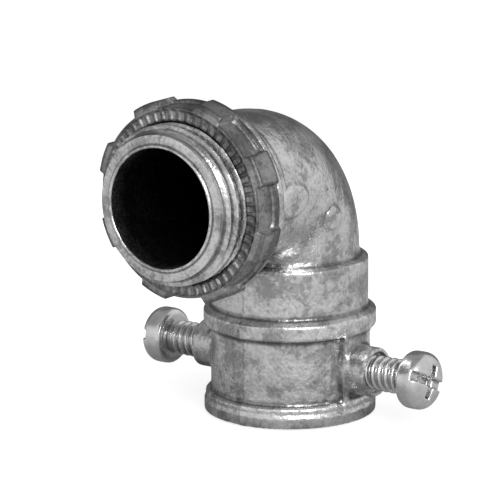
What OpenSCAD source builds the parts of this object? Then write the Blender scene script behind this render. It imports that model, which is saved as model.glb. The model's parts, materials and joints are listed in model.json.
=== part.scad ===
// Ninety-degree set-screw conduit connector, half-inch trade size.
// A die-cast elbow with a conduit socket that opens downwards and a threaded hub that points along -Y,
// a castellated locknut on the hub, and two set screws backed out of the socket's sides along X.
// The origin is on the socket's axis, in the plane of its mouth.

/* [Conduit socket] */
// Outside diameter of the conduit that goes in
conduit_od = 17.93; // [14.9:0.01:21.6]
// Room all round the conduit in the socket
conduit_clearance = 0.155; // [0.08:0.005:0.4]
// How deep the conduit goes, from the mouth to its stop
conduit_depth = 19.5; // [16:0.1:26]
// How far the stop reaches in from the socket's bore
stop_step = 1.17; // [0.8:0.01:1.6]
// Metal above the stop, up to the barrel's shoulder
stop_wall = 2; // [1.4:0.1:4]
// Wall of the lower part, which the screws go through
socket_wall = 1.75; // [1.4:0.01:2.6]
// Wall of the plain barrel above the collar
barrel_wall = 1.66; // [1.3:0.01:2.6]
// Size of the lead-in chamfer at the mouth
mouth_chamfer = 0.4; // [0.2:0.05:0.5]

/* [Flange and collar] */
// Height of the flange round the mouth
flange_h = 2.75; // [2.4:0.05:4]
// How far the flange stands out from the socket
flange_lip = 0.95; // [0.4:0.01:1.6]
// Height of the thicker bead along the flange's lower edge
flange_bead_h = 1.65; // [0.9:0.05:1.7]
// How far the bead stands out from the rest of the flange
flange_bead_lip = 0.2; // [0.1:0.05:0.35]
// Height of the collar above the screws
collar_h = 2; // [1.2:0.1:3]
// How far the collar stands out from the socket
collar_lip = 1; // [0.4:0.01:1.6]
// Rise of the sloping ledges above the collar and above the barrel
ledge_rise = 0.7; // [0.4:0.05:0.8]
// Plain wall between the flange and the screw bosses
flange_to_boss = 0.93; // [0.4:0.01:3]
// Plain wall between the screw bosses and the collar
boss_to_collar = 1.7; // [0.6:0.1:4]

/* [Elbow] */
// Radius of the bend along its inside corner
bend_inside_r = 1.2; // [0.6:0.1:6]
// Wall of the bend
elbow_wall = 1.85; // [1.4:0.01:2.4]
// Straight length between the barrel's shoulder and the bend
riser_len = 0.8; // [0.8:0.1:6]
// Straight length between the bend and the hub's shoulder
neck_len = 7.4; // [3:0.1:14]
// How much wider the neck is where it meets the shoulder
neck_swell = 0.3; // [0:0.05:1]

/* [Hub] */
// Outside diameter of the hub's thread
thread_od = 21.34; // [17.8:0.01:25.6]
// Distance from one crest of the hub's thread to the next
thread_pitch = 1.814; // [1.2:0.002:2.2]
// Depth of the hub's thread
thread_depth = 1; // [0.5:0.05:1.3]
// Number of turns of thread
thread_turns = 3; // [2:1:5]
// Plain undercut between the shoulder and the thread
thread_relief = 1.45; // [0.4:0.05:3]
// Tapered nose in front of the thread
nose_len = 2.5; // [1.6:0.05:4]
// How far the nose's wide end stays inside the thread's crests
nose_drop = 0.5; // [0.2:0.05:0.9]
// Width of the flat rim round the hub's mouth
rim_w = 0.5; // [0.4:0.05:0.9]
// Wall of the hub, from its bore to the thread's crests
hub_wall = 2.72; // [2.2:0.01:4]
// Thickness of the shoulder that bears on the box
shoulder_h = 1.7; // [1.2:0.1:3]
// How far the shoulder stands out from the thread
shoulder_lip = 1.95; // [1.2:0.05:4]

/* [Locknut] */
// Thickness of the locknut
nut_h = 5; // [3:0.1:7]
// Ring of metal between the locknut's bore and its notches
nut_wall = 1.98; // [1.5:0.01:3]
// How far the lugs stand out
lug_h = 0.95; // [0.6:0.05:2]
// Number of lugs
lug_count = 8; // [6:1:10]
// Width of a lug, in degrees round the nut
lug_width = 19; // [12:0.5:26]
// Turn of the first lug from the +X direction
lug_turn = 25; // [0:1:60]
// Thickness of the band that joins the lugs at the back
nut_band = 1.5; // [0.8:0.1:2]
// How far that band stands out between the lugs
band_lip = 0.45; // [0.35:0.05:0.6]
// Number of locking teeth on the front face
tooth_count = 56; // [36:2:72]
// Length of a tooth, outwards from the bore's edge
tooth_len = 1.1; // [0.8:0.1:1.4]
// Depth of the locking teeth
tooth_depth = 0.45; // [0.2:0.05:0.8]
// Running room between the locknut and the thread's crests
nut_clearance = 0.05; // [0.02:0.01:0.1]
// Gap left between the locknut and the hub's shoulder
nut_gap = 0.1; // [0.05:0.05:3]

/* [Set screws] */
// Outside diameter of a set screw's thread
screw_d = 4.82; // [4:0.01:5.8]
// Distance from one crest of the screw's thread to the next
screw_pitch = 1.058; // [0.7:0.002:1.2]
// Depth of the screw's thread
screw_thread_depth = 0.5; // [0.2:0.05:0.6]
// Length of a screw below its head
screw_len = 9.5; // [8:0.1:12]
// Running room between a screw and its hole
screw_clearance = 0.04; // [0.02:0.01:0.1]
// Diameter of a screw's head
head_d = 7.9; // [6.4:0.02:9.5]
// Height of the straight side of the head
head_side = 2.9; // [1.8:0.1:3.5]
// Height of the head's dome above its side
head_dome = 1.1; // [0.5:0.05:1.6]
// Width of the slot and of the cross recess
slot_w = 1.2; // [0.6:0.05:1.5]
// Depth of the slot at the middle of the head
slot_depth = 1.5; // [0.6:0.1:1.8]
// Width of the cross recess from tip to tip
cross_w = 4.6; // [3.2:0.1:5.4]
// Depth of the cross recess
cross_depth = 2.3; // [1.2:0.1:2.6]
// Gap between a screw's head and its boss, as backed out
screw_backed_out = 5.2; // [0.5:0.1:6]
// Wall of a boss round its screw
boss_wall = 0.95; // [0.7:0.05:2]
// How far a boss stands out from the socket
boss_stand = 3.63; // [2:0.01:5]
// How far the rib behind a boss stands out from the socket
rib_stand = 0.48; // [0.3:0.01:1.2]
// Width of the rib behind a boss
rib_w = 5.9; // [4:0.1:8]
// Turn of the right screw's slot
right_slot_turn = 65; // [0:5:175]
// Turn of the left screw's slot
left_slot_turn = 100; // [0:5:175]

/* [Hidden] */
$fn = 96;

cut = 1;                // how far a cutting shape runs past the face it opens
edge = 0.3;             // small bevel on cast edges
crest_from = 0.35;      // share of a pitch at which a thread's crest starts
crest_to = 0.55;        // share of a pitch at which it ends
groove_from = 0.9;      // share of a pitch at which the root starts again

// Socket, from the mouth upwards
bore_r = conduit_od / 2 + conduit_clearance;
passage_r = bore_r - stop_step;
socket_r = bore_r + socket_wall;
flange_r = socket_r + flange_lip;
collar_r = socket_r + collar_lip;
barrel_r = bore_r + barrel_wall;
elbow_r = passage_r + elbow_wall;
screw_r = screw_d / 2;
tapped_r = screw_r + screw_clearance;
boss_r = tapped_r + boss_wall;
screw_z = flange_h + flange_to_boss + boss_r;
collar_z = screw_z + boss_r + boss_to_collar;
barrel_top = conduit_depth + stop_wall;
bend_r = elbow_r + bend_inside_r;
bend_z = barrel_top + riser_len;
hub_axis_z = bend_z + bend_r;

// Hub, measured along its axis from the socket's axis
shoulder_back = bend_r + neck_len;
shoulder_face = shoulder_back + shoulder_h;
thread_start = shoulder_face + thread_relief;
thread_end = thread_start + thread_turns * thread_pitch;
hub_reach = thread_end - (1 - groove_from) * thread_pitch + nose_len;
thread_r = thread_od / 2;
root_r = thread_r - thread_depth;
throat_r = thread_r - hub_wall;
rim_r = throat_r + rim_w;
neck_r = elbow_r + neck_swell;
shoulder_r = thread_r + shoulder_lip;

// Locknut
nut_back = shoulder_face + nut_gap;
nut_bore_r = thread_r + nut_clearance;
nut_r = nut_bore_r + nut_wall;
lug_r = nut_r + lug_h;
tooth_in = nut_bore_r + edge;
tooth_out = tooth_in + tooth_len;

// Set screws, measured along X from the socket's axis
boss_end = socket_r + boss_stand;
head_at = boss_end + screw_backed_out;
head_r = head_d / 2;
head_h = head_side + head_dome;
dome_r = (head_r * head_r + head_dome * head_dome) / (2 * head_dome);
screw_turns = floor((screw_len - 1) / screw_pitch);
screw_plain = screw_len - screw_turns * screw_pitch;

// One ridge after another along a thread, as points of radius and distance
function ridges(crest, depth, pitch, start, turns) = [
    for (i = [0 : turns - 1]) each [
        [crest - depth, start + i * pitch],
        [crest, start + (i + crest_from) * pitch],
        [crest, start + (i + crest_to) * pitch],
        [crest - depth, start + (i + groove_from) * pitch]
    ]
];

// Puts a shape that points up +Z on the hub's axis, pointing out of the hub
module on_hub() {
    translate([0, 0, hub_axis_z]) rotate([90, 0, 0]) children();
}

// Puts a shape that points up +Z on the screws' axis, pointing to the right (1) or to the left (-1)
module on_side(side) {
    translate([0, 0, screw_z]) rotate([0, 90 * side, 0]) children();
}

// Quarter bend from the top of the riser to the back of the neck
module bend(r) {
    translate([0, -bend_r, bend_z]) rotate(120, [1, 1, 1])
        rotate_extrude(angle = 90) translate([bend_r, 0]) circle(r = r);
}

// Socket, flange, collar and barrel as one turned shape, up to the bend
module socket_outside() {
    rotate_extrude() polygon([
        [0, 0],
        [flange_r - edge, 0],
        [flange_r, edge],
        [flange_r, flange_bead_h],
        [flange_r - flange_bead_lip, flange_bead_h + flange_bead_lip],
        [flange_r - flange_bead_lip, flange_h - edge],
        [flange_r - flange_bead_lip - edge, flange_h],
        [socket_r, flange_h + edge],
        [socket_r, collar_z - edge],
        [collar_r, collar_z],
        [collar_r, collar_z + collar_h - edge],
        [collar_r - edge, collar_z + collar_h],
        [barrel_r, collar_z + collar_h + ledge_rise],
        [barrel_r, barrel_top - edge],
        [barrel_r - edge, barrel_top],
        [elbow_r, barrel_top + ledge_rise],
        [elbow_r, bend_z],
        [0, bend_z]
    ]);
}

// Neck, shoulder, thread and nose as one turned shape, from the bend outwards
module hub_outside() {
    on_hub() rotate_extrude() polygon(concat(
        [
            [0, bend_r],
            [elbow_r, bend_r],
            [neck_r, shoulder_back - edge],
            [neck_r + edge, shoulder_back],
            [shoulder_r - 2 * edge, shoulder_back],
            [shoulder_r, shoulder_back + 2 * edge],
            [shoulder_r, shoulder_face - edge],
            [shoulder_r - edge, shoulder_face],
            [root_r, shoulder_face]
        ],
        ridges(thread_r, thread_depth, thread_pitch, thread_start, thread_turns),
        [
            [thread_r - nose_drop, hub_reach - nose_len + nose_drop],
            [rim_r, hub_reach - edge / 2],
            [rim_r - edge / 2, hub_reach],
            [0, hub_reach]
        ]
    ));
}

// Boss round one set screw, with a bevelled root, on a flat rib between the flange and the collar
module boss(side) {
    scale([side, 1, 1]) translate([bore_r, -rib_w / 2, flange_h])
        cube([socket_r + rib_stand - bore_r, rib_w, collar_z - flange_h]);
    on_side(side) {
        translate([0, 0, bore_r]) cylinder(r = boss_r, h = boss_end - bore_r);
        translate([0, 0, socket_r - edge]) cylinder(r1 = boss_r + 3 * edge, r2 = boss_r, h = 3 * edge);
    }
}

module elbow_body() {
    color("silver") difference() {
        union() {
            socket_outside();
            bend(elbow_r);
            hub_outside();
            for (side = [-1, 1]) boss(side);
        }
        // conduit's bore, its lead-in, and the passage above the stop
        translate([0, 0, -cut]) cylinder(r = bore_r, h = conduit_depth + cut);
        translate([0, 0, -cut]) cylinder(r = bore_r + mouth_chamfer + cut, h = cut);
        cylinder(r1 = bore_r + mouth_chamfer, r2 = bore_r, h = mouth_chamfer);
        translate([0, 0, conduit_depth]) cylinder(r = passage_r, h = bend_z - conduit_depth);
        bend(passage_r);
        // hub's bore, with a rounded-off mouth for the wires
        on_hub() translate([0, 0, bend_r]) cylinder(r = throat_r, h = hub_reach - bend_r + cut);
        on_hub() translate([0, 0, hub_reach - edge])
            cylinder(r1 = throat_r, r2 = throat_r + edge, h = edge);
        // tapped holes for the two set screws
        for (side = [-1, 1]) on_side(side) translate([0, 0, passage_r / 2])
            cylinder(r = tapped_r, h = boss_end - passage_r / 2 + cut);
    }
}

// Shape of one lug, standing out of the nut's ring
module lug() {
    rotate([0, 0, -lug_width / 2]) rotate_extrude(angle = lug_width) polygon([
        [nut_r - edge, edge],
        [lug_r - edge, edge],
        [lug_r, 2 * edge],
        [lug_r, nut_h - 2 * edge],
        [lug_r - edge, nut_h - edge],
        [nut_r - edge, nut_h - edge]
    ]);
}

module locknut() {
    color("gainsboro") on_hub() translate([0, 0, nut_back]) difference() {
        union() {
            rotate_extrude() polygon([
                [nut_bore_r, 0],
                [nut_r, 0],
                [nut_r + band_lip, edge],
                [nut_r + band_lip, nut_band - edge],
                [nut_r, nut_band],
                [nut_r, nut_h - edge],
                [nut_r - edge, nut_h],
                [nut_bore_r, nut_h]
            ]);
            for (i = [0 : lug_count - 1])
                rotate([0, 0, lug_turn + i * 360 / lug_count]) lug();
        }
        // grooves between the locking teeth, each a square bar set on its edge
        for (i = [0 : tooth_count - 1])
            rotate([0, 0, i * 360 / tooth_count]) translate([tooth_in, 0, nut_h])
                rotate([45, 0, 0]) translate([0, -tooth_depth / 2, -tooth_depth / 2])
                    cube([tooth_out - tooth_in, tooth_depth, tooth_depth]);
    }
}

// Domed head with a slot right across it and a cross recess at the middle
module screw_head(slot_turn) {
    difference() {
        intersection() {
            cylinder(r = head_r, h = head_h);
            translate([0, 0, head_h - dome_r]) sphere(r = dome_r);
        }
        rotate([0, 0, slot_turn]) {
            translate([-head_d, -slot_w / 2, head_h - slot_depth]) cube([2 * head_d, slot_w, head_h]);
            for (turn = [0, 90])
                rotate([0, 0, turn]) translate([-cross_w / 2, -slot_w / 2, head_h - cross_depth])
                    cube([cross_w, slot_w, head_h]);
        }
    }
}

// Set screw along +Z, with its point down and the underside of its head at zero
module set_screw(slot_turn) {
    union() {
        rotate_extrude() polygon(concat(
            [
                [0, -screw_len],
                [screw_r - 2 * screw_thread_depth, -screw_len]
            ],
            ridges(screw_r, screw_thread_depth, screw_pitch, edge - screw_len, screw_turns),
            [
                [screw_r - screw_thread_depth, -screw_plain / 2],
                [screw_r - screw_thread_depth, 0],
                [0, 0]
            ]
        ));
        screw_head(slot_turn);
    }
}

module set_screw_right() {
    color("lightsteelblue") on_side(1) translate([0, 0, head_at]) set_screw(right_slot_turn);
}

module set_screw_left() {
    color("lightsteelblue") on_side(-1) translate([0, 0, head_at]) set_screw(left_slot_turn);
}

elbow_body();
locknut();
set_screw_right();
set_screw_left();
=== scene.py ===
"""Looks of a ninety-degree set-screw conduit connector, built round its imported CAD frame.

Shapes are worked out in millimetres and put into the frame in metres. Each piece starts as a field, which is
negative inside the metal, or as a grid of rings, and becomes a mesh.
"""
import json
import math

import bpy
import numpy as np
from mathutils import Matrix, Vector


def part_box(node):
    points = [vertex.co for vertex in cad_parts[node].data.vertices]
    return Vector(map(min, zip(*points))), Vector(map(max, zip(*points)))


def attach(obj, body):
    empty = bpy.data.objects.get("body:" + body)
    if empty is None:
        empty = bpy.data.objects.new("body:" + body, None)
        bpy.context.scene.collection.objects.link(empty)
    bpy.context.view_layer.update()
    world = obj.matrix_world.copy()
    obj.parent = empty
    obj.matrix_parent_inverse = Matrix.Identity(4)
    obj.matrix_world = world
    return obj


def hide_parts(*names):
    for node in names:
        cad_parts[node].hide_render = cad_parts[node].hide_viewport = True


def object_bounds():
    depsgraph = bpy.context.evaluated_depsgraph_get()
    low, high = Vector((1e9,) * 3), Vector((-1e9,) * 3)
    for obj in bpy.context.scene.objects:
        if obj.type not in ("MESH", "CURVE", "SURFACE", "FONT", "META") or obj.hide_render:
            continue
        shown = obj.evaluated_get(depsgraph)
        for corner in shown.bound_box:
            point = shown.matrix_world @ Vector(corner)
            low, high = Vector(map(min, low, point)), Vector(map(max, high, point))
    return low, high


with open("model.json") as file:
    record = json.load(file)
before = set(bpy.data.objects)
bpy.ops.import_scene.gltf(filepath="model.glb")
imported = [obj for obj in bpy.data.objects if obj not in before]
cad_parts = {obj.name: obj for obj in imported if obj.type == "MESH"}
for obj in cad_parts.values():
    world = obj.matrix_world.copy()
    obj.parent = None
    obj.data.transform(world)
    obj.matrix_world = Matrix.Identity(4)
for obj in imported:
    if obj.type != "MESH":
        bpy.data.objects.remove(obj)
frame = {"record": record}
cad_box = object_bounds()

MM = 0.001
TURN = 2 * math.pi


def mount(name):
    """Radius and place of one of the record's mounts, in millimetres."""
    found = next(m for m in frame["record"]["mounts"] if m["name"] == name)
    return found["dims"].get("r_mm"), [c / MM for c in found["pos_m"]]


def box_mm(node):
    """Lowest and highest corner of a CAD node, in millimetres."""
    low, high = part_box(node)
    return [c / MM for c in low], [c / MM for c in high]


# Sizes that the frame gives
bore_r, _ = mount("conduit_socket")
throat_r, throat_at = mount("wire_throat")
thread_r, clamp_at = mount("box_wall_clamp")
body_low, body_high = box_mm("elbow_body")
nut_low, nut_high = box_mm("locknut")
screw_low, screw_high = box_mm("set_screw_right")
hub_z = throat_at[2]
shoulder_face = -clamp_at[1]
hub_end = -body_low[1]
boss_end = body_high[0]
screw_z = (screw_low[2] + screw_high[2]) / 2
head_r = (screw_high[1] - screw_low[1]) / 2

# Socket and barrel: radii, and heights above the mouth
socket_r = bore_r + 1.75
barrel_r = bore_r + 1.66
flange_r = socket_r + 0.95
flange_step_r = socket_r + 0.75
collar_r = socket_r + 1.0
flange_h = 2.75
flange_bead_h = 1.65
collar_z = 12.19
collar_h = 2.0
ledge_rise = 0.7
barrel_top = 21.5
conduit_stop = 19.5
bend_z = 22.3
bend_r = hub_z - bend_z

# Elbow and shoulder: radii, and distance out from the socket's axis
elbow_low_r = 9.55
elbow_neck_r = 10.15
shoulder_back = shoulder_face - 1.7
shoulder_r = thread_r + 1.95

# Hub's thread and nose
thread_pitch = 1.814
thread_root_r = thread_r - 1.0
thread_crest_at = 26.2
nose_start = 27.3
nose_r = thread_r - 0.5
rim_r = throat_r + 0.42
rim_proud = 0.3
thread_starts = shoulder_face + 0.6

# Screw bosses and what is cast beside them
boss_r = 3.4
tapped_r = 2.45
sink_r = 2.85
rib_x = socket_r + 0.48
rib_half = 2.95
pad_half = 4.9
pad_proud = 0.16

# Plain raised oval and disc on the right of the bend, by y and z
oval_y, oval_up = -13.2, -0.6
oval_half_y, oval_half_z = 3.0, 2.2
disc_y, disc_z, disc_r = -3.6, 28.6, 1.5
mark_proud = 0.3

# Ridge of the parting line on the front, and how far the left half of the casting sits back
seam_proud = 0.1
seam_width = 0.5
left_half_drop = 0.05

# Grid that the casting's surface is found on
casting_low, casting_high = (-15, -20.6, -0.6), (15, 12.4, 46.6)
casting_step = 0.285


# ---------------------------------------------------------------- fields
def rounded(corners, steps=4):
    """A closed outline from corners (a, b, radius), each rounded by an arc of that radius."""
    points = []
    count = len(corners)
    for i, (a, b, radius) in enumerate(corners):
        corner = Vector((a, b))
        back = Vector(corners[i - 1][:2]) - corner
        ahead = Vector(corners[(i + 1) % count][:2]) - corner
        opening = back.angle(ahead)
        reach = min(radius / math.tan(opening / 2), 0.45 * back.length, 0.45 * ahead.length)
        if reach < 1e-4:
            points.append((a, b))
            continue
        start = corner + reach * back.normalized()
        end = corner + reach * ahead.normalized()
        for k in range(steps + 1):
            t = k / steps
            points.append(tuple((1 - t) ** 2 * start + 2 * t * (1 - t) * corner + t * t * end))
    return points


def outline_distance(outline, a, b):
    """Signed distance from the points (a, b) to a closed outline, negative inside."""
    nearest = np.full(a.shape, np.inf)
    inside = np.zeros(a.shape, bool)
    for (a0, b0), (a1, b1) in zip(outline, outline[1:] + outline[:1]):
        da, db = a1 - a0, b1 - b0
        if da * da + db * db < 1e-12:
            continue
        along = np.clip(((a - a0) * da + (b - b0) * db) / (da * da + db * db), 0, 1)
        nearest = np.minimum(nearest, (a - a0 - along * da) ** 2 + (b - b0 - along * db) ** 2)
        if db:
            inside ^= ((b0 > b) != (b1 > b)) & (a < a0 + (b - b0) * da / db)
    return np.where(inside, -1.0, 1.0) * np.sqrt(nearest)


def turned(corners, step=0.06, margin=2.0):
    """Field of a turned solid as a function of radius and height, read from a fine grid."""
    outline = rounded(corners)
    r_top = max(r for r, _ in outline) + margin
    h_low = min(h for _, h in outline) - margin
    h_top = max(h for _, h in outline) + margin
    radii = np.arange(0, r_top, step)
    heights = np.arange(h_low, h_top, step)
    grid = outline_distance(outline, *np.meshgrid(radii, heights, indexing="ij"))

    def field(r, h):
        u = np.clip(r / step, 0, len(radii) - 1.001)
        v = np.clip((h - h_low) / step, 0, len(heights) - 1.001)
        i, j = u.astype(int), v.astype(int)
        u, v = u - i, v - j
        near = grid[i, j] * (1 - v) + grid[i, j + 1] * v
        far = grid[i + 1, j] * (1 - v) + grid[i + 1, j + 1] * v
        return near * (1 - u) + far * u

    return field


def join(a, b, fillet):
    """Union of two fields with a fillet of about that size."""
    near = np.maximum(fillet - np.abs(a - b), 0) / fillet
    return np.minimum(a, b) - near**2 * fillet / 4


def both(a, b, fillet):
    """Intersection of two fields with its edge rounded by about that size."""
    return -join(-a, -b, fillet)


def slab(centre, half, *coordinates):
    """Field of a box, or of a rectangle or strip, with sharp edges."""
    over = [np.abs(c - m) - h for c, m, h in zip(coordinates, centre, half)]
    outside = np.sqrt(sum(np.maximum(o, 0) ** 2 for o in over))
    return outside + np.minimum(np.maximum.reduce(over), 0)


def smooth_step(low, high, value):
    """Rises smoothly from 0 at low to 1 at high, which may be the smaller of the two."""
    t = np.clip((value - low) / (high - low), 0, 1)
    return t * t * (3 - 2 * t)


# ---------------------------------------------------------------- meshes
def surface_of(field, low, high, step, relax=2):
    """Vertices and quads of the surface where a field is zero: one vertex for each cell that it crosses."""
    low, high = np.array(low, float), np.array(high, float)
    counts = np.ceil((high - low) / step).astype(int) + 1
    values = sample(field, low, counts, step)
    inside = values < 0
    corners = sum(
        inside[i : counts[0] - 1 + i, j : counts[1] - 1 + j, k : counts[2] - 1 + k].astype(np.int8)
        for i in (0, 1) for j in (0, 1) for k in (0, 1)
    )
    crossed = (corners > 0) & (corners < 8)
    index = np.full(crossed.shape, -1, int)
    index[crossed] = np.arange(crossed.sum())
    vertices = low + step * (np.argwhere(crossed) + 0.5)
    quads = []
    for axis in range(3):
        u, v = (axis + 1) % 3, (axis + 2) % 3
        ahead = np.roll(inside, -1, axis)
        last = [slice(None)] * 3
        last[axis] = slice(0, counts[axis] - 1)
        edges = np.argwhere((inside != ahead)[tuple(last)])
        cells = np.repeat(edges[:, None, :], 4, 1)
        cells[:, (0, 3), u] -= 1
        cells[:, (0, 1), v] -= 1
        loop = index[cells[..., 0], cells[..., 1], cells[..., 2]]
        outward = inside[edges[:, 0], edges[:, 1], edges[:, 2]]
        loop[~outward] = loop[~outward][:, ::-1]
        quads.append(loop)
    quads = np.concatenate(quads)
    for _ in range(relax):
        vertices = settle(field, vertices, step)
        vertices = spread(vertices, quads)
    return settle(field, settle(field, vertices, step), step), quads


def sample(field, low, counts, step, coarse=4):
    """A field's values on a grid, worked out finely only near its surface."""
    rough_counts = -(-(counts - 1) // coarse) + 1
    rough = [low[i] + step * coarse * np.arange(rough_counts[i]) for i in range(3)]
    rough_values = field(*[g.ravel() for g in np.meshgrid(*rough, indexing="ij")]).reshape(rough_counts)
    blocks = np.argwhere(np.abs(rough_values) < 1.8 * coarse * step)
    values = np.repeat(np.repeat(np.repeat(np.sign(rough_values), coarse, 0), coarse, 1), coarse, 2)
    offsets = np.argwhere(np.ones((coarse, coarse, coarse))) - coarse // 2
    values = np.roll(values, (-(coarse // 2),) * 3, (0, 1, 2))
    nodes = (blocks[:, None, :] * coarse + offsets[None]).reshape(-1, 3)
    nodes = nodes[((nodes >= 0) & (nodes < counts)).all(1)]
    places = low + step * nodes
    fine = field(places[:, 0], places[:, 1], places[:, 2])
    values = values[: counts[0], : counts[1], : counts[2]].copy()
    values[nodes[:, 0], nodes[:, 1], nodes[:, 2]] = fine
    return values


def slope(field, points, value, reach=0.02):
    """A field's gradient at some points."""
    x, y, z = points.T
    ahead = np.stack([field(x + reach, y, z), field(x, y + reach, z), field(x, y, z + reach)], 1)
    return ahead / reach - value[:, None] / reach


def settle(field, points, step):
    """Moves points along the field's slope onto its surface."""
    value = field(*points.T)
    gradient = slope(field, points, value)
    length = np.maximum((gradient**2).sum(1), 0.2)
    return points - gradient * np.clip(value / length, -step, step)[:, None]


def spread(points, quads, share=0.6):
    """Moves each point part of the way to the middle of its neighbours."""
    total = np.zeros_like(points)
    count = np.zeros(len(points))
    for a, b in ((0, 1), (1, 2), (2, 3), (3, 0)):
        for here, there in ((a, b), (b, a)):
            for axis in range(3):
                total[:, axis] += np.bincount(quads[:, here], points[quads[:, there], axis], len(points))
            count += np.bincount(quads[:, here], minlength=len(points))
    return points + share * (total / np.maximum(count, 1)[:, None] - points)


def rings(rows, close=False):
    """Vertices and faces of a skin over rings of points, capped at both ends or closed on itself."""
    rows = np.array(rows)
    count, length, _ = rows.shape
    number = np.arange(count * length).reshape(count, length)
    low, high = (number, np.roll(number, -1, 0)) if close else (number[:-1], number[1:])
    quads = np.stack([low, np.roll(low, -1, 1), np.roll(high, -1, 1), high], -1)
    faces = quads.reshape(-1, 4).tolist()
    if not close:
        faces.append(number[0][::-1].tolist())
        faces.append(number[-1].tolist())
    return rows.reshape(-1, 3), faces


def make_piece(name, vertices, faces):
    """A mesh object from points in millimetres."""
    if isinstance(faces, np.ndarray):
        faces = faces.tolist()
    mesh = bpy.data.meshes.new(name)
    mesh.from_pydata((np.asarray(vertices) * MM).tolist(), [], faces)
    mesh.update()
    piece = bpy.data.objects.new(name, mesh)
    bpy.context.scene.collection.objects.link(piece)
    return piece


def combine(piece, other, operation):
    """Adds or cuts a second mesh with a boolean, and removes it."""
    modifier = piece.modifiers.new("combine", "BOOLEAN")
    modifier.operation = operation
    modifier.solver = "MANIFOLD"
    modifier.object = other
    graph = bpy.context.evaluated_depsgraph_get()
    result = bpy.data.meshes.new_from_object(piece.evaluated_get(graph))
    piece.modifiers.clear()
    old = piece.data
    piece.data = result
    bpy.data.meshes.remove(old)
    bpy.data.objects.remove(other)


def mark_relief(mesh, rounds=3):
    """Stores how hollow each point's place is: 0.5 on a flat, more in a corner and less on an edge.

    That holds where the faces point out of the metal.
    """
    count = len(mesh.vertices)
    places = np.empty(count * 3)
    mesh.vertices.foreach_get("co", places)
    places = places.reshape(-1, 3) / MM
    normals = np.empty(count * 3)
    mesh.vertices.foreach_get("normal", normals)
    normals = normals.reshape(-1, 3)
    ends = np.empty(len(mesh.edges) * 2, int)
    mesh.edges.foreach_get("vertices", ends)
    a, b = ends.reshape(-1, 2).T
    length = np.linalg.norm(places[b] - places[a], axis=1)
    lean = ((normals[b] - normals[a]) * (places[b] - places[a])).sum(1) / np.maximum(length, 0.05) ** 2
    weight = np.bincount(a, length, count) + np.bincount(b, length, count)
    bend = np.bincount(a, lean * length, count) + np.bincount(b, lean * length, count)
    bend /= np.maximum(weight, 1e-6)
    near = np.bincount(a, minlength=count) + np.bincount(b, minlength=count)
    for _ in range(rounds):
        beside = np.bincount(a, bend[b], count) + np.bincount(b, bend[a], count)
        bend = 0.4 * bend + 0.6 * beside / np.maximum(near, 1)
    relief = mesh.attributes.new("relief", "FLOAT", "POINT")
    relief.data.foreach_set("value", np.clip(0.5 - 0.5 * bend, 0, 1).astype(np.float32))


def finish_mesh(piece, sharp_angle=38):
    """Smooth shading with the crisp edges kept, and the relief marked for the material."""
    mesh = piece.data
    mark_relief(mesh)
    mesh.shade_smooth()
    mesh.set_sharp_from_angle(angle=math.radians(sharp_angle))


# ---------------------------------------------------------------- cast body
socket_field = turned([
    (0, 0, 0),
    (flange_r, 0, 0.3),
    (flange_r, flange_bead_h, 0.2),
    (flange_step_r, flange_bead_h + 0.2, 0.15),
    (flange_step_r, flange_h, 0.3),
    (socket_r, flange_h + 0.25, 0.35),
    (socket_r, collar_z - 0.25, 0.35),
    (collar_r, collar_z, 0.25),
    (collar_r, collar_z + collar_h, 0.3),
    (barrel_r, collar_z + collar_h + ledge_rise, 0.35),
    (barrel_r, barrel_top, 0.3),
    (elbow_low_r, barrel_top + 0.55, 0.5),
    (elbow_low_r, bend_z, 0),
    (0, bend_z, 0),
])

shoulder_field = turned([
    (0, shoulder_back - 3, 0),
    (elbow_neck_r, shoulder_back - 3, 0),
    (elbow_neck_r, shoulder_back, 0.5),
    (shoulder_r - 0.5, shoulder_back, 0.1),
    (shoulder_r, shoulder_back + 0.6, 0.3),
    (shoulder_r, shoulder_face, 0.7),
    (0, shoulder_face, 0),
])

boss_field = turned([
    (0, 9, 0),
    (boss_r, 9, 0),
    (boss_r, boss_end, 0.28),
    (0, boss_end, 0),
])


def elbow_field(x, y, z, swell=0.0):
    """The swept bend, from inside the barrel to the shoulder."""
    out, up = -(y + bend_r), z - bend_z
    in_bend = (up > 0) & (out < 0)
    turn = np.where(in_bend, np.arctan2(up, -out), np.where(up <= 0, 0, math.pi / 2))
    along = turn * bend_r + np.where(in_bend, 0, np.where(up <= 0, up, out))
    sideways = np.where(in_bend, np.hypot(out, up) - bend_r, np.where(up <= 0, y, z - hub_z))
    full = math.pi / 2 * bend_r
    radius = elbow_low_r + (elbow_neck_r - elbow_low_r) * smooth_step(0, full + 4, along) + swell
    ends = np.maximum(barrel_top - 6 - z, -y - shoulder_back)
    return np.maximum(np.hypot(x, sideways) - radius, ends)


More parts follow.
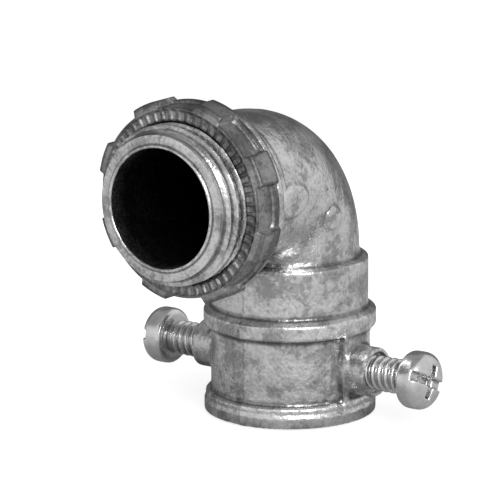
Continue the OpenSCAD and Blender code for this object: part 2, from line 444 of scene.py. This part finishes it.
def casting(x, y, z):
    """Outside of the cast body, without the hub."""
    body = join(socket_field(np.hypot(x, y), z), elbow_field(x, y, z), 0.5)
    body = join(body, shoulder_field(np.hypot(x, z - hub_z), -y), 0.7)
    side = np.abs(x)
    between = (flange_h + collar_z) / 2
    rib = slab((rib_x / 2 + 4, 0, between), (rib_x / 2 - 4, rib_half, collar_z / 2), side, y, z)
    pad = both(np.hypot(x, y) - socket_r - pad_proud, slab((0, between), (pad_half, collar_z / 2), y, z), 0.1)
    body = join(body, rib, 0.4)
    body = join(body, np.maximum(pad, 6 - side), 0.3)
    boss = boss_field(np.hypot(y, z - screw_z), side)
    body = join(body, boss, 1.0)
    raised = elbow_field(x, y, z, mark_proud)
    oval = (np.hypot((y - oval_y) / oval_half_y, (z - hub_z - oval_up) / oval_half_z) - 1) * oval_half_z
    marked = join(body, both(raised, oval, 0.3), 0.35)
    marked = join(marked, both(raised, np.hypot(y - disc_y, z - disc_z) - disc_r, 0.15), 0.3)
    body = np.where(x > 4, marked, body)
    seam = seam_proud * np.exp(-side / seam_width) * (z > 0.5) * (z < hub_z) * (y < 6)
    return body - seam + left_half_drop * smooth_step(0.2, -0.2, x)


def make_body():
    """The whole casting: body and hub as one, with the bores and screw holes cut out."""
    vertices, quads = surface_of(casting, casting_low, casting_high, casting_step)
    body = make_piece("casting", vertices, quads)
    combine(body, make_hub(), "UNION")
    for cutter in (bore_cutter(), passage_cutter(), hole_cutter(1), hole_cutter(-1)):
        combine(body, cutter, "DIFFERENCE")
    finish_mesh(body)
    mark_depth(body.data)
    return body


def mark_depth(mesh):
    """Stores how far inside the bores and the bend each point is: 0 outside and 1 well inside."""
    places = np.empty(len(mesh.vertices) * 3)
    mesh.vertices.foreach_get("co", places)
    x, y, z = places.reshape(-1, 3).T / MM
    in_hub = (np.hypot(x, z - hub_z) < throat_r + 0.06) * (-y > shoulder_back - 1)
    in_hub = in_hub * smooth_step(hub_end - 0.25, hub_end - 1.2, -y)
    in_socket = (np.hypot(x, y) < bore_r + 0.06) * (z < conduit_stop + 0.1) * smooth_step(0.3, 8, z)
    in_bend = (elbow_field(x, y, z) < -1.2) & (z > conduit_stop - 0.1)
    depth = mesh.attributes.new("depth", "FLOAT", "POINT")
    depth.data.foreach_set("value", np.maximum.reduce([in_hub, in_socket, in_bend]).astype(np.float32))


def around(count):
    """Evenly spaced angles round a full turn."""
    return np.arange(count) * TURN / count


def hub_ring(radius, out, angle):
    """Ring of points round the hub's axis; the angle turns from +X towards +Z."""
    radius = np.broadcast_to(radius, angle.shape)
    return np.stack([radius * np.cos(angle), np.full(angle.shape, -out), hub_z + radius * np.sin(angle)], 1)


def thread_height(fraction, rise=0.3, crest=0.26):
    """Height of a ridge, from 0 at the root to 1 on the crest, at a fraction of its pitch from the middle."""
    away = np.abs(fraction - np.round(fraction))
    return 1 - smooth_step(crest / 2, crest / 2 + rise, away)


def hub_radius(out, angle):
    """Radius of the hub's outside at a distance along its axis."""
    turns = (out - thread_crest_at) / thread_pitch - angle / TURN
    ridge = thread_height(turns) * smooth_step(thread_starts, thread_starts + 1, out)
    ridge *= 1 - smooth_step(nose_start + 0.1, nose_start + 0.9, out)
    threaded = thread_root_r + (thread_r - thread_root_r) * ridge
    along = np.clip((out - nose_start) / (hub_end - rim_proud - nose_start), 0, 1)
    nose = nose_r - (nose_r - rim_r - 0.35) * along**1.2
    rise = np.interp(out, (nose_start - 0.4, nose_start), (thread_root_r, nose_r))
    return np.maximum(threaded, np.where(out < nose_start, rise, nose))


def make_hub():
    """Threaded hub as a solid bar, with a thin rim that stands proud of its nose."""
    angle = around(288)
    rows = [hub_ring(thread_root_r, shoulder_face - 0.8, angle)]
    for out in np.arange(shoulder_face - 0.4, hub_end - rim_proud, 0.12):
        rows.append(hub_ring(hub_radius(out, angle), out, angle))
    rim = [(0.3, rim_proud), (0.16, 0.34), (0.06, 0.3), (0.03, 0.18), (0, 0.08), (-0.06, 0.01), (-0.14, 0)]
    for wider, drop in rim:
        rows.append(hub_ring(rim_r + wider, hub_end - drop, angle))
    return make_piece("hub", *rings(rows))


def socket_ring(radius, height, angle):
    """Ring of points round the socket's axis."""
    return np.stack([radius * np.cos(angle), radius * np.sin(angle), np.full(angle.shape, height)], 1)


def bore_cutter():
    """The conduit's way in, from a chamfered mouth to the stop."""
    angle = around(160)
    lead_in = 0.4
    stations = [(bore_r + lead_in, -1.0), (bore_r + lead_in, 0.0), (bore_r + 0.1, 0.3), (bore_r, lead_in)]
    stations += [(bore_r, h) for h in np.arange(2.0, conduit_stop - 0.3, 2.0)]
    stations += [
        (bore_r, conduit_stop - 0.25),
        (bore_r - 0.08, conduit_stop - 0.07),
        (bore_r - 0.3, conduit_stop),
    ]
    return make_piece("bore", *rings([socket_ring(r, h, angle) for r, h in stations]))


def passage_cutter():
    """The wires' way: up past the stop, round the bend and out through the hub."""
    angle = around(160)
    rows = [socket_ring(throat_r, conduit_stop - 0.5, angle), socket_ring(throat_r, bend_z - 0.4, angle)]
    for turn in np.linspace(0, math.pi / 2, 40):
        centre_y = -bend_r + (bend_r + throat_r * np.sin(angle)) * math.cos(turn)
        height = bend_z + (bend_r + throat_r * np.sin(angle)) * math.sin(turn)
        rows.append(np.stack([throat_r * np.cos(angle), centre_y, height], 1))
    for radius, out in ((throat_r, bend_r + 6), (throat_r, hub_end - 3), (throat_r, hub_end - 0.3),
                        (throat_r + 0.03, hub_end - 0.16), (throat_r + 0.12, hub_end - 0.04),
                        (throat_r + 0.3, hub_end + 0.03), (throat_r + 0.3, hub_end + 1)):
        rows.append(hub_ring(radius, out, angle))
    return make_piece("passage", *rings(rows))


def hole_cutter(side):
    """A screw's hole through its boss and the socket's wall, wider at its mouth."""
    angle = around(72)
    rows = []
    for radius, out in ((tapped_r, 6.0), (tapped_r, boss_end - 1.1), (sink_r, boss_end - 0.8),
                        (sink_r + 0.05, boss_end), (sink_r + 0.05, boss_end + 1)):
        ring = np.stack([np.full(angle.shape, side * out), side * radius * np.cos(angle),
                         screw_z + radius * np.sin(angle)], 1)
        rows.append(ring)
    return make_piece("hole", *rings(rows))


# ---------------------------------------------------------------- locknut
nut_back = -nut_high[1]
nut_front = -nut_low[1]
nut_bore_r = thread_r + 0.06
nut_r = nut_bore_r + 1.97
lug_r = nut_r + 0.95
lug_count = 8
lug_turn = math.radians(25)
lug_half = math.radians(9.5)
tooth_count = 56
tooth_in = nut_bore_r + 0.35
tooth_out = tooth_in + 1.15
tooth_depth = 0.32
band_h = 1.5
band_r = nut_r + 0.45


def notch_distance(angle, out):
    """Distance from the edge of the nearest notch between two lugs, negative inside the notch."""
    step = TURN / lug_count
    from_lug = np.abs((angle - lug_turn + step / 2) % step - step / 2)
    across = (lug_half - from_lug) * nut_r
    along = nut_back + band_h - out
    corner = 0.8
    inner = np.minimum(np.maximum(across, along) + corner, 0)
    outer = np.hypot(np.maximum(across + corner, 0), np.maximum(along + corner, 0))
    return inner + outer - corner


def nut_side(angle, out):
    """Radius of the nut's outside: lugs, the band behind them and the notches between them."""
    step = TURN / lug_count
    from_lug = np.abs((angle - lug_turn + step / 2) % step - step / 2) * nut_r
    on_lug = 1 - smooth_step(-0.15, 0.25, from_lug - lug_half * nut_r)
    top = band_r + (lug_r - band_r) * on_lug
    back_edge = smooth_step(-0.1, 0.7, out - nut_back)
    front_edge = smooth_step(0.15, 0.6, nut_front - out)
    proud = smooth_step(-0.12, 0.2, notch_distance(angle, out)) * front_edge * back_edge
    return nut_r + (top - nut_r) * proud


def nut_angles():
    """Angles round the nut: twelve to a tooth, and closer at the lugs' sides."""
    even = around(tooth_count * 12)
    sides = [lug_turn + k * TURN / lug_count + s * (lug_half + math.radians(d))
             for k in range(lug_count) for s in (-1, 1) for d in (-0.7, -0.4, -0.1, 0.15, 0.4, 0.7, 1.0)]
    return np.unique(np.round(np.concatenate([even, np.mod(sides, TURN)]), 5))


def tooth_height(angle):
    """A narrow ridge for each locking tooth, from 0 in the gap to 1 on top."""
    return thread_height(angle / TURN * tooth_count, 0.24, 0.12)


def make_locknut():
    """One closed skin: threaded bore, toothed front face, lugs and back face.

    Its faces point into the metal, so its relief is reversed: more on an edge and less in a corner.
    """
    angle = nut_angles()
    rows = []
    for out in np.linspace(nut_back + 0.15, nut_front - 0.6, 32):
        turns = (out - thread_crest_at) / thread_pitch - angle / TURN
        ends = smooth_step(0, 0.4, out - nut_back) * smooth_step(0.5, 0.9, nut_front - out)
        rows.append(hub_ring(nut_bore_r + 0.3 * thread_height(turns) * ends, out, angle))
    gap = tooth_depth * (1 - tooth_height(angle))
    # Rings of the front: radius, distance behind the face, and share of the gaps between the teeth
    chamfer = [(nut_bore_r + 0.05, 0.5, 0), (tooth_in - 0.12, 0.12, 0.15)]
    teeth = [(tooth_in, 0.0, 0.6), (tooth_in + 0.15, 0, 0.95), (tooth_in + 0.4, 0, 1), (tooth_in + 0.7, 0, 1),
             (tooth_out - 0.2, 0.03, 0.9), (tooth_out, 0.08, 0.45), (tooth_out + 0.12, 0.1, 0.1)]
    edge = [(tooth_out + 0.25, 0.1, 0), (nut_r - 0.25, 0.12, 0), (nut_r - 0.08, 0.18, 0)]
    for radius, drop, share in chamfer + teeth + edge:
        rows.append(hub_ring(radius, nut_front - drop - share * gap, angle))
    height = nut_front - nut_back
    for drop in (0.27, 0.36, 0.45, 0.54, 0.64, 0.8, *np.arange(1.0, height - 1.9, 0.3),
                 *np.arange(height - 1.9, height - 1.1, 0.08), *np.arange(height - 1.1, height - 0.5, 0.2),
                 *np.arange(height - 0.5, height - 0.08, 0.08)):
        rows.append(hub_ring(nut_side(angle, nut_front - drop), nut_front - drop, angle))
    for radius, drop in ((nut_r - 0.05, height - 0.04), (nut_r - 0.2, height), (nut_bore_r + 0.9, height),
                         (nut_bore_r + 0.1, height - 0.02)):
        rows.append(hub_ring(radius, nut_front - drop, angle))
    nut = make_piece("locknut_cast", *rings(rows, close=True))
    finish_mesh(nut, 60)
    return nut


# ---------------------------------------------------------------- set screws
screw_r = 2.41
screw_pitch = 1.058
screw_len = 9.5
screw_step = 0.13
head_side = 2.9
head_dome = 1.1
head_h = head_side + head_dome
dome_r = (head_r**2 + head_dome**2) / (2 * head_dome)
slot_half = 0.6
slot_depth = 1.5
cross_half = 2.3
arm_half = 0.55
cross_depth = 2.3
right_slot_turn = 65
left_slot_turn = 100
head_at = screw_high[0] - head_h

head_field = turned([(0, 0, 0), (head_r - 0.02, 0, 0.9), (head_r, head_h, 0), (0, head_h, 0)], 0.04)


def screw_field(slot_turn):
    """Field of a screw along +Z, with the underside of its head at zero."""
    cos_turn, sin_turn = math.cos(slot_turn), math.sin(slot_turn)

    def field(x, y, z):
        r = np.hypot(x, y)
        turns = z / screw_pitch - np.arctan2(y, x) / TURN
        ridge = thread_height(turns, 0.34, 0.12)
        ridge = ridge * (1 - smooth_step(-1.2, -0.5, z)) * smooth_step(-screw_len, 0.9 - screw_len, z)
        shank = (r - screw_r + 0.5 - 0.5 * ridge) * 0.75
        shank = np.maximum(shank, -screw_len - z)
        shank = np.maximum(shank, z - 1)
        dome = np.sqrt(r**2 + (z - head_h + dome_r) ** 2) - dome_r
        head = both(head_field(r, z), dome, 0.9)
        u, v = x * cos_turn + y * sin_turn, y * cos_turn - x * sin_turn
        depth = head_h - z
        slot = np.maximum(np.abs(v) - slot_half, depth - slot_depth)
        taper = 0.35 * np.maximum(depth - 0.6, 0)
        arm_u = np.maximum(np.abs(u) - cross_half + taper, np.abs(v) - arm_half + 0.25 * taper)
        arm_v = np.maximum(np.abs(v) - cross_half + taper, np.abs(u) - arm_half + 0.25 * taper)
        cross = np.maximum(join(arm_u, arm_v, 0.4), depth - cross_depth)
        recess = join(slot, cross, 0.15)
        return both(join(shank, head, 0.4), -recess, 0.22)

    return field


def make_screw(name, side, slot_turn):
    """A screw with its head outwards on that side."""
    reach = head_r + 0.4
    vertices, quads = surface_of(
        screw_field(math.radians(slot_turn)),
        (-reach, -reach, -screw_len - 0.4), (reach, reach, head_h + 0.4), screw_step, relax=1)
    x, y, z = vertices.T
    placed = np.stack([side * (head_at + z), y, screw_z - side * x], 1)
    screw = make_piece(name, placed, quads)
    finish_mesh(screw, 50)
    return screw


# ---------------------------------------------------------------- materials
def new_material(name):
    """A material with its node tree and its shader."""
    material = bpy.data.materials.new(name)
    material.use_nodes = True
    return material, material.node_tree, material.node_tree.nodes["Principled BSDF"]


def node(tree, kind, **values):
    """A node with some of its sockets or settings filled in by name."""
    made = tree.nodes.new(kind)
    for key, value in values.items():
        if key in made.inputs:
            made.inputs[key].default_value = value
        else:
            setattr(made, key, value)
    return made


def noise_at(tree, place, size_mm, detail=2.0, rough=0.5):
    """Noise whose features are about that many millimetres across."""
    made = node(tree, "ShaderNodeTexNoise", Scale=1000 / size_mm, Detail=detail, Roughness=rough)
    tree.links.new(place, made.inputs["Vector"])
    return made.outputs["Fac"]


def ramp(tree, source, stops):
    """Greys that follow a value, from stops of place and grey."""
    made = tree.nodes.new("ShaderNodeValToRGB")
    elements = made.color_ramp.elements
    while len(elements) < len(stops):
        elements.new(0.5)
    for element, (place, grey) in zip(elements, stops):
        element.position = place
        element.color = (grey, grey, grey, 1)
    tree.links.new(source, made.inputs["Fac"])
    return made.outputs["Color"]


def maths(tree, operation, first, second):
    """Result of a Math node on two values, each a number or another node's output."""
    made = node(tree, "ShaderNodeMath", operation=operation)
    for socket, value in zip(made.inputs, (first, second)):
        if isinstance(value, (int, float)):
            socket.default_value = value
        else:
            tree.links.new(value, socket)
    return made.outputs["Value"]


def bump(tree, height, strength, distance_mm, below=None):
    """Normal bent by a height, on top of the bump below it if there is one."""
    made = node(tree, "ShaderNodeBump", Strength=strength, Distance=distance_mm * MM)
    tree.links.new(height, made.inputs["Height"])
    if below is not None:
        tree.links.new(below, made.inputs["Normal"])
    return made.outputs["Normal"]


def attribute(tree, name):
    """A value stored on the mesh's points."""
    return node(tree, "ShaderNodeAttribute", attribute_name=name).outputs["Fac"]


def parting_line_and_left_shade(tree, place, wobble):
    """A thin dark line where the two halves of the die met, and a left half painted slightly darker as
    painted shade.
    """
    side = node(tree, "ShaderNodeSeparateXYZ")
    tree.links.new(place, side.inputs["Vector"])
    wander = maths(tree, "MULTIPLY", maths(tree, "SUBTRACT", wobble, 0.5), 1.2 * MM)
    across = maths(tree, "ADD", side.outputs["X"], wander)
    from_seam = maths(tree, "MULTIPLY", maths(tree, "ABSOLUTE", across, 0), 1 / MM)
    line = ramp(tree, from_seam, [(0.06, 0.72), (0.2, 1.0)])
    # Painted shade: the left half, away from the key light, is painted a little darker
    to_right = maths(tree, "ADD", maths(tree, "MULTIPLY", across, 0.5 / MM), 0.5)
    half = ramp(tree, to_right, [(0.46, 0.9), (0.54, 1.0)])
    return maths(tree, "MULTIPLY", line, half)


def cast_metal(name, dark, light, rough_low, rough_high, grain, painted_crease_shade, hollow=False):
    """Die-cast zinc: mottled grey, fine bumps of strength grain, painted shade where relief is high and
    painted highlight where low.

    A hollow casting also has a parting line with its left half in painted shade, and painted shade in its
    bores.
    """
    material, tree, shader = new_material(name)
    place = node(tree, "ShaderNodeTexCoord").outputs["Object"]
    patches = noise_at(tree, place, size_mm=4.0, detail=4.0, rough=0.62)
    blots = noise_at(tree, place, size_mm=1.5, detail=3.0, rough=0.7)
    speckle = noise_at(tree, place, size_mm=0.5, detail=3.0, rough=0.65)
    grains = noise_at(tree, place, size_mm=0.16, detail=2.0, rough=0.5)
    fine = maths(tree, "MULTIPLY", speckle, 0.35)
    mixed = maths(tree, "ADD", maths(tree, "MULTIPLY", patches, 0.65), fine)
    colour = ramp(tree, mixed, [(0.4, dark), (0.6, light)])
    colour = maths(tree, "MULTIPLY", colour, ramp(tree, patches, [(0.46, 0.84), (0.485, 1.0)]))
    colour = maths(tree, "MULTIPLY", colour, ramp(tree, blots, [(0.36, 0.8), (0.4, 1.0)]))
    colour = maths(tree, "MULTIPLY", colour, ramp(tree, speckle, [(0.27, 0.55), (0.34, 1.0)]))
    # Painted shade in creases and hollows, and a faint painted highlight on edges, both from the relief
    painted_relief_shading = ramp(tree, attribute(tree, "relief"), [(0.2, 1.05), (0.44, 1.0), (0.55, 1.0), (0.72, painted_crease_shade)])
    colour = maths(tree, "MULTIPLY", colour, painted_relief_shading)
    if hollow:
        colour = maths(tree, "MULTIPLY", colour, parting_line_and_left_shade(tree, place, blots))
        # Painted shade: darker inside the bores and the bend
        bore_painted_shade = ramp(tree, attribute(tree, "depth"), [(0.0, 1.0), (1.0, 0.25)])
        colour = maths(tree, "MULTIPLY", colour, bore_painted_shade)
    tree.links.new(colour, shader.inputs["Base Color"])
    tree.links.new(ramp(tree, speckle, [(0.3, rough_high), (0.7, rough_low)]), shader.inputs["Roughness"])
    normal = bump(tree, patches, strength=0.8, distance_mm=0.3)
    normal = bump(tree, blots, strength=0.5, distance_mm=0.12, below=normal)
    normal = bump(tree, speckle, strength=0.5 * grain, distance_mm=0.05, below=normal)
    normal = bump(tree, grains, strength=0.4 * grain, distance_mm=0.02, below=normal)
    tree.links.new(normal, shader.inputs["Normal"])
    shader.inputs["Metallic"].default_value = 1.0
    return material


def plated_metal(name, dark, light):
    """Plated steel with fine scuffs, painted shade in its corners and a faint painted highlight on its edges.
    """
    material, tree, shader = new_material(name)
    place = node(tree, "ShaderNodeTexCoord").outputs["Object"]
    blotches = noise_at(tree, place, size_mm=1.6, detail=3.0, rough=0.6)
    scuffs = noise_at(tree, place, size_mm=0.25, detail=3.0, rough=0.6)
    colour = ramp(tree, blotches, [(0.35, dark), (0.65, light)])
    # Painted shade in corners and the slot, and a faint painted highlight on edges, both from the relief
    painted_relief_shading = ramp(tree, attribute(tree, "relief"), [(0.2, 1.05), (0.4, 1.0), (0.56, 1.0), (0.8, 0.55)])
    tree.links.new(maths(tree, "MULTIPLY", colour, painted_relief_shading), shader.inputs["Base Color"])
    tree.links.new(ramp(tree, scuffs, [(0.3, 0.3), (0.7, 0.16)]), shader.inputs["Roughness"])
    tree.links.new(bump(tree, scuffs, strength=0.12, distance_mm=0.02), shader.inputs["Normal"])
    shader.inputs["Metallic"].default_value = 1.0
    return material


def dress(piece, material, body, slot, *nodes):
    """Gives a piece its material and body, and hides the CAD nodes that it stands for; slot is not used."""
    piece.data.materials.clear()
    piece.data.materials.append(material)
    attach(piece, body)
    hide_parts(*nodes)


# ---------------------------------------------------------------- studio
def look_at(thing, target):
    """Turns a camera or a light towards a place."""
    thing.rotation_euler = (Vector(target) - thing.location).to_track_quat("-Z", "Y").to_euler()


def make_light(name, place, target, size, power):
    """Soft rectangular light, with its power in watts."""
    lamp = bpy.data.lights.new(name, "AREA")
    lamp.shape = "RECTANGLE"
    lamp.size, lamp.size_y = size
    lamp.energy = power
    thing = bpy.data.objects.new(name, lamp)
    thing.location = place
    look_at(thing, target)
    bpy.context.scene.collection.objects.link(thing)


def make_floor():
    """Round pale floor with painted shade near the foot, and a glow that only camera rays see."""
    radius = 0.17
    below = 0.0002
    rim = [(radius * math.cos(a), radius * math.sin(a), -below) for a in around(64)]
    mesh = bpy.data.meshes.new("floor")
    mesh.from_pydata(rim, [], [list(range(len(rim)))])
    floor = bpy.data.objects.new("floor", mesh)
    bpy.context.scene.collection.objects.link(floor)
    material, tree, shader = new_material("floor_paper")
    place = node(tree, "ShaderNodeTexCoord").outputs["Object"]
    away = node(tree, "ShaderNodeVectorMath", operation="LENGTH")
    tree.links.new(place, away.inputs[0])
    decimetres = maths(tree, "MULTIPLY", away.outputs["Value"], 10)
    # Painted shade: the floor's colour is darker near the foot
    shade = ramp(tree, decimetres, [(0.16, 0.38), (0.4, 0.74)])
    tree.links.new(shade, shader.inputs["Base Color"])
    shader.inputs["Roughness"].default_value = 0.8
    shader.inputs["Specular IOR Level"].default_value = 0.1
    shader.inputs["Emission Color"].default_value = (1, 1, 1, 1)
    ray = node(tree, "ShaderNodeLightPath").outputs["Is Camera Ray"]
    tree.links.new(maths(tree, "MULTIPLY", ray, 0.82), shader.inputs["Emission Strength"])
    mesh.materials.append(material)


def make_world():
    """A pale studio with dark cards behind and above; it is white where it is seen directly."""
    world = bpy.data.worlds.new("studio")
    bpy.context.scene.world = world
    world.use_nodes = True
    tree = world.node_tree
    tree.nodes.clear()
    place = node(tree, "ShaderNodeTexCoord").outputs["Generated"]

    def facing(direction):
        dot = node(tree, "ShaderNodeVectorMath", operation="DOT_PRODUCT")
        tree.links.new(place, dot.inputs[0])
        dot.inputs[1].default_value = direction
        return dot.outputs["Value"]

    behind = ramp(tree, facing((-0.574, 0.819, 0)), [(0.6, 0), (0.7, 1)])
    above = ramp(tree, facing((-0.45, 0.05, 0.89)), [(0.62, 0), (0.74, 0.75)])
    dark = maths(tree, "MAXIMUM", behind, above)
    pale = maths(tree, "SUBTRACT", 0.66, maths(tree, "MULTIPLY", dark, 0.5))
    from_left = ramp(tree, facing((-0.95, 0.2, 0)), [(0.75, 1), (0.95, 0.6)])
    shade = maths(tree, "MULTIPLY", pale, from_left)
    ray = node(tree, "ShaderNodeLightPath").outputs["Is Camera Ray"]
    background = node(tree, "ShaderNodeBackground", Color=(1, 1, 1, 1))
    tree.links.new(maths(tree, "MAXIMUM", shade, ray), background.inputs["Strength"])
    output = tree.nodes.new("ShaderNodeOutputWorld")
    tree.links.new(background.outputs["Background"], output.inputs["Surface"])


def make_camera():
    """Camera in front of the hub and to its right, a little above it."""
    azimuth, elevation, roll = math.radians(35.6), math.radians(13.65), math.radians(-0.25)
    pivot = Vector((0, -0.0051, 0.0203))
    target = Vector((-0.00242, -0.00587, 0.02297))
    distance = 0.492
    back = Vector((math.sin(azimuth) * math.cos(elevation), -math.cos(azimuth) * math.cos(elevation),
                   math.sin(elevation)))
    lens = bpy.data.cameras.new("camera")
    lens.sensor_width = 36
    lens.lens = 261.2
    lens.clip_start = 0.01
    camera = bpy.data.objects.new("camera", lens)
    camera.location = pivot + distance * back
    look_at(camera, target)
    camera.rotation_euler.rotate_axis("Z", roll)
    bpy.context.scene.collection.objects.link(camera)
    bpy.context.scene.camera = camera


# ---------------------------------------------------------------- the object and its studio
make_camera()
make_world()
make_floor()
middle = [(a + b) / 2 for a, b in zip(*cad_box)]
make_light("key", place=(0.42, -0.33, 0.33), target=middle, size=(0.26, 0.26), power=2.0)

zinc = cast_metal("cast_zinc", dark=0.47, light=0.88, rough_low=0.22, rough_high=0.38,
                  grain=1.0, painted_crease_shade=0.4, hollow=True)
nut_zinc = cast_metal("locknut_zinc", dark=0.22, light=0.42, rough_low=0.42, rough_high=0.6,
                      grain=1.3, painted_crease_shade=0.6)
plating = plated_metal("plated_steel", dark=0.74, light=0.9)

dress(make_body(), zinc, "elbow_body", "cast_zinc", "elbow_body")
dress(make_locknut(), nut_zinc, "locknut", "locknut_zinc", "locknut")
right_screw = make_screw("screw_right", 1, right_slot_turn)
dress(right_screw, plating, "set_screw_right", "plated_steel", "set_screw_right")
left_screw = make_screw("screw_left", -1, left_slot_turn)
dress(left_screw, plating, "set_screw_left", "plated_steel", "set_screw_left")

bpy.context.scene.view_settings.view_transform = "Standard"
